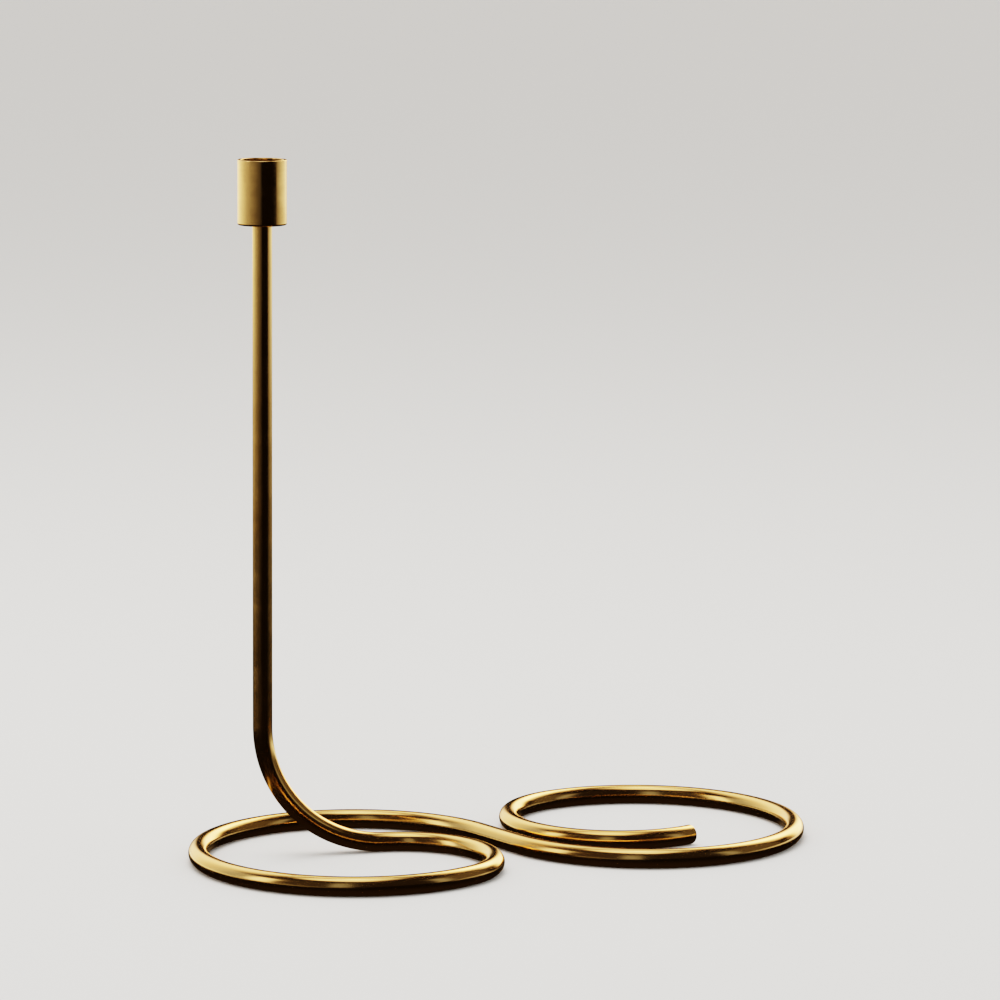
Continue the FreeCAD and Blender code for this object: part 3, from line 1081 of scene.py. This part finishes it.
@dataclass(frozen=True, kw_only=True)
class ZincPlate(Finish):
    """Steel with bright zinc plate: cool grey and satin, mottled, with a straw-coloured tinge."""

    name: str = "bright_zinc_plate"
    colour: str = "c6cbd2"
    tinge: str = "cfc7ae"
    clouds: Pattern = Pattern(3.0, 2.0)
    roughness: float = 0.27
    mottle: Pattern = Pattern(0.8, 3.0)
    mottle_limits: tuple[float, float] = (0.3, 0.7)
    mottle_roughness: float = 0.12
    mottle_depth: float = 0.004

    def paint(self, tree: Tree) -> None:
        """Adds the plate, its tinge and its mottle.

        Args:
            tree: The material's node tree.
        """
        place = add_node(tree, "ShaderNodeTexCoord").outputs["Object"]
        clouds, mottle = (
            add_node(tree, "ShaderNodeTexNoise", inputs=pattern.inputs(place)).outputs["Fac"]
            for pattern in (self.clouds, self.mottle)
        )
        colour = add_node(
            tree,
            "ShaderNodeMix",
            {"data_type": "RGBA"},
            {"Factor": clouds, MIX_FIRST: linear(self.colour), MIX_SECOND: linear(self.tinge)},
        ).outputs[MIX_RESULT]
        smooth, rough = self.mottle_limits
        roughness = add_node(
            tree,
            "ShaderNodeMapRange",
            inputs={
                "Value": mottle,
                "From Min": smooth,
                "From Max": rough,
                "To Min": self.roughness,
                "To Max": self.roughness + self.mottle_roughness,
            },
        )
        relief = add_node(
            tree, "ShaderNodeBump", inputs={"Distance": self.mottle_depth * MM, "Height": mottle}
        )
        self.add_metal(tree, colour, roughness.outputs["Result"], relief.outputs["Normal"])


class Ramp(Enum):
    """How a softbox fades at its edges."""

    FEATHERED = "SMOOTHSTEP"
    EVEN = "LINEAR"


@dataclass(frozen=True)
class Softbox:
    """One soft light as polished metal sees it: a patch of the light tent round the object.

    Azimuth 0 is on the camera's side of the object, 90 to its right as the camera sees it,
    180 behind it and 270 to its left. Elevation 0 is level. Each of the two ranges holds
    where the patch starts to rise, where it is full, where it starts to fall and where it
    ends, in degrees. A power above 1 steepens the fade to the end of the azimuth's range or
    the rise at the start of the elevation's.
    """

    name: str
    azimuth: tuple[float, float, float, float]
    elevation: tuple[float, float, float, float]
    radiance: float
    tint: str = "ffeed4"
    ramp: Ramp = Ramp.FEATHERED
    fade_power: float = 1.0
    rise_power: float = 1.0


ALL_ROUND = (-2.0, -1.0, 361.0, 362.0)
# What the upright stem and the cup mirror: just below level, fading out further down.
LOW = (-16.0, -4.6, -2.0, 1.0)

# The ceiling is in three, which fade into one another: it reaches less far down on the right.
SOFTBOXES = (
    Softbox("ceiling", (125, 140, 361, 362), (65, 77, 91, 92), 2.6, "ffdcb4"),
    Softbox("ceiling_front", (-2, -1, 20, 45), (65, 77, 91, 92), 2.6, "ffdcb4"),
    Softbox("ceiling_right", (20, 45, 125, 140), (70, 86, 91, 92), 2.6, "ffdcb4"),
    Softbox("back_right", (130, 148, 160, 177), (-2, 3, 42, 56), 6.5, "ffcc92"),
    Softbox("back_right_top", (114, 132, 160, 176), (22, 32, 44, 66), 2.0, "ffd8ac"),
    Softbox("back", (164, 172, 190, 198), (30, 46, 91, 92), 1.3, "ffdcb4"),
    Softbox("back_left", (186, 198, 206, 270), (-2, 3, 54, 68), 2.7, "ffdab0"),
    Softbox("left_soft", (236, 256, 284, 302), (-2, 3, 32, 46), 0.45),
    Softbox("left", (278, 288, 296, 306), (-2, 4, 32, 44), 2.6, "ffdab0"),
    Softbox("front_left_strip", (342, 348, 355, 361), (-2, 3, 30, 60), 0.32),
    Softbox("front_right_strip", (57, 64, 68, 76), (-2, 3, 32, 46), 0.36),
    Softbox("right_fill", (68, 82, 108, 118), (-2, 3, 36, 54), 0.09, "ffdcae"),
    Softbox("left_fill", (282, 290, 336, 348), (-2, 3, 46, 60), 0.025, "ffdcae"),
    Softbox("low_back_left", (190, 202, 232, 288), LOW, 1.4, "ffe2ba", Ramp.EVEN, 1, 7.8),
    Softbox("low_left", (190, 202, 205, 366), LOW, 1.6, "ffe2ba", Ramp.EVEN, 1.3, 7.8),
    Softbox("low_right", (80, 148, 152, 180), LOW, 2.0, "ffe6c4", Ramp.EVEN, 1, 7.6),
    Softbox("low_right_edge", (70, 79, 150, 180), LOW, 0.42, "ffe6c4", Ramp.EVEN, 1, 7.6),
    Softbox("room", ALL_ROUND, (0, 8, 56, 66), 0.015, "ffdcae"),
    Softbox("back_bounce", (150, 168, 192, 210), (-24, -18, -14, -9), 0.08, "ffdcae"),
    Softbox("paper_bounce", ALL_ROUND, (-92, -91, -60, -10), 0.012, "ffc88a"),
)


@dataclass
class Studio:
    """The pale floor, the soft light and the camera at the photograph's viewing angle."""

    floor_size: float = 80.0
    floor_colour: str = "ebe8e2"
    floor_roughness: float = 0.9
    floor_specular: float = 0.1
    world_strength: float = 1.0
    tent_segments: int = 48
    tent_rings: int = 24
    tent_radius: float = 30.0
    tent_dim: float = 0.006
    tent_dim_tint: str = "ffb060"
    ceiling_size: float = 1.6
    ceiling_place: tuple[float, float, float] = (-0.2, 0.3, 2.2)
    ceiling_power: float = 45.0
    camera_azimuth: float = 24.525
    camera_elevation: float = 8.362
    camera_roll: float = 0.359
    camera_distance: float = 2492.4
    camera_target: tuple[float, float, float] = (-1.1, 0.5, 182.1)
    sensor_width: float = 36.0
    lens: float = 174.94

    def forward(self, elevation: float) -> Vector:
        """Works out a direction away from the camera.

        Args:
            elevation: How far it is tilted down from level, in degrees.

        Returns:
            The direction.
        """
        azimuth = math.radians(self.camera_azimuth)
        level = math.cos(math.radians(elevation))
        fall = -math.sin(math.radians(elevation))
        return Vector((math.sin(azimuth) * level, math.cos(azimuth) * level, fall))

    def add_camera(self) -> None:
        """Adds the scene's camera."""
        data = bpy.data.cameras.new("camera")
        data.sensor_width = self.sensor_width
        data.lens = self.lens
        camera = bpy.data.objects.new("camera", data)
        bpy.context.scene.collection.objects.link(camera)
        forward = self.forward(self.camera_elevation)
        camera.location = Vector(self.camera_target) * MM - forward * self.camera_distance * MM
        roll = Quaternion((0, 0, 1), math.radians(self.camera_roll))
        camera.rotation_mode = "QUATERNION"
        camera.rotation_quaternion = forward.to_track_quat("-Z", "Y") @ roll
        bpy.context.scene.camera = camera

    def add_floor(self) -> None:
        """Adds the plain floor. The tent stands in for it in the metal's reflections."""
        bpy.ops.mesh.primitive_plane_add(size=self.floor_size)
        floor = bpy.context.object
        floor.name = "floor"
        floor.visible_glossy = False
        material = bpy.data.materials.new("matt_paper")
        material.use_nodes = True
        shader = material.node_tree.nodes["Principled BSDF"]
        shader.inputs["Base Color"].default_value = linear(self.floor_colour)
        shader.inputs["Roughness"].default_value = self.floor_roughness
        shader.inputs["Specular IOR Level"].default_value = self.floor_specular
        floor.data.materials.append(material)
        floor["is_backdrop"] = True

    def add_tent(self) -> None:
        """Adds the light tent, which only polished metal sees."""
        bpy.ops.mesh.primitive_uv_sphere_add(
            segments=self.tent_segments, ring_count=self.tent_rings, radius=self.tent_radius
        )
        tent = bpy.context.object
        tent.name = "light_tent"
        tent.visible_camera = False
        tent.visible_diffuse = False
        tent.visible_shadow = False
        material = empty_material("light_tent")
        tree = material.node_tree
        azimuth, elevation = self.directions(tree)
        light = add_node(
            tree,
            "ShaderNodeEmission",
            inputs={"Color": linear(self.tent_dim_tint), "Strength": self.tent_dim},
        ).outputs[0]
        for box in SOFTBOXES:
            strength = self.patch(tree, box, azimuth, elevation)
            glow = add_node(
                tree,
                "ShaderNodeEmission",
                inputs={"Color": linear(box.tint), "Strength": strength},
            )
            light = add_node(
                tree, "ShaderNodeAddShader", inputs={0: light, 1: glow.outputs[0]}
            ).outputs[0]
        add_node(tree, "ShaderNodeOutputMaterial", inputs={"Surface": light})
        material.cycles.emission_sampling = "NONE"
        tent.data.materials.append(material)
        tent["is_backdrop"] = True

    def directions(self, tree: Tree) -> tuple[Socket, Socket]:
        """Works out where a point of the tent lies as seen from the object.

        Args:
            tree: The tent's node tree.

        Returns:
            The azimuth from 0 to 360 and the elevation, in degrees.
        """
        place = add_node(tree, "ShaderNodeTexCoord").outputs["Object"]
        to_camera = -self.forward(0.0)
        to_right = to_camera.cross(-UP)
        front, right = (
            add_node(
                tree, "ShaderNodeVectorMath", {"operation": "DOT_PRODUCT"}, {0: place, 1: way}
            ).outputs["Value"]
            for way in (to_camera, to_right)
        )
        turn = add_node(tree, "ShaderNodeMath", {"operation": "ARCTAN2"}, {0: right, 1: front})
        signed = add_node(tree, "ShaderNodeMath", {"operation": "DEGREES"}, {0: turn.outputs[0]})
        azimuth = add_node(
            tree,
            "ShaderNodeMath",
            {"operation": "FLOORED_MODULO"},
            {0: signed.outputs[0], 1: 360.0},
        )
        height = add_node(tree, "ShaderNodeSeparateXYZ", inputs={0: place}).outputs["Z"]
        sine = add_node(
            tree, "ShaderNodeMath", {"operation": "DIVIDE"}, {0: height, 1: self.tent_radius}
        )
        rise = add_node(tree, "ShaderNodeMath", {"operation": "ARCSINE"}, {0: sine.outputs[0]})
        elevation = add_node(
            tree, "ShaderNodeMath", {"operation": "DEGREES"}, {0: rise.outputs[0]}
        )
        return azimuth.outputs[0], elevation.outputs[0]

    def patch(self, tree: Tree, box: Softbox, azimuth: Socket, elevation: Socket) -> Socket:
        """Works out how bright one softbox is at a point of the tent.

        Args:
            tree: The tent's node tree.
            box: The softbox.
            azimuth: The point's azimuth in degrees.
            elevation: The point's elevation in degrees.

        Returns:
            The radiance.
        """
        ramps = (
            (azimuth, box.azimuth[:2], 1.0),
            (azimuth, box.azimuth[:1:-1], box.fade_power),
            (elevation, box.elevation[:2], box.rise_power),
            (elevation, box.elevation[:1:-1], 1.0),
        )
        strength = box.radiance
        for angle, (dark, full), power in ramps:
            ramp = add_node(
                tree,
                "ShaderNodeMapRange",
                {"interpolation_type": box.ramp.value},
                {"Value": angle, "From Min": dark, "From Max": full},
            ).outputs["Result"]
            share = add_node(
                tree, "ShaderNodeMath", {"operation": "POWER"}, {0: ramp, 1: power}
            ).outputs[0]
            strength = add_node(
                tree, "ShaderNodeMath", {"operation": "MULTIPLY"}, {0: strength, 1: share}
            ).outputs[0]
        return strength

    def add_room_light(self) -> None:
        """Adds the even light of the room and the ceiling light that casts the soft shadow."""
        world = bpy.data.worlds.new("studio")
        bpy.context.scene.world = world
        world.use_nodes = True
        background = world.node_tree.nodes["Background"]
        background.inputs["Color"].default_value = (1, 1, 1, 1)
        background.inputs["Strength"].default_value = self.world_strength
        data = bpy.data.lights.new("ceiling_light", "AREA")
        data.size = self.ceiling_size
        data.energy = self.ceiling_power
        lamp = bpy.data.objects.new("ceiling_light", data)
        lamp.location = self.ceiling_place
        lamp.visible_camera = False
        lamp.visible_glossy = False
        bpy.context.scene.collection.objects.link(lamp)

    def build(self) -> None:
        """Builds the studio."""
        self.add_floor()
        self.add_tent()
        self.add_room_light()
        self.add_camera()
        bpy.context.scene.view_settings.view_transform = "Filmic"
        bpy.context.scene.view_settings.look = "Medium High Contrast"


def write_sizes() -> None:
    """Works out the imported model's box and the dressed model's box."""
    boxes = {"cad": CAD_BOX, "visual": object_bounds()}
    plain = {name: [list(corner) for corner in corners] for name, corners in boxes.items()}


def main() -> None:
    """Builds the sub-assemblies, dresses them and sets up the studio."""
    logging.basicConfig(level=logging.INFO, format="%(name)s: %(message)s")
    for part in (BentRod(), CandleCup(), Fixings()):
        part.build()
        for piece in part.dress():
            mesh = piece.data
            finish = mesh.materials[0].name
            LOG.info("%s: %d faces, dressed in %s", piece.name, len(mesh.polygons), finish)
    Studio().build()
    write_sizes()


if __name__ == "__main__":
    main()
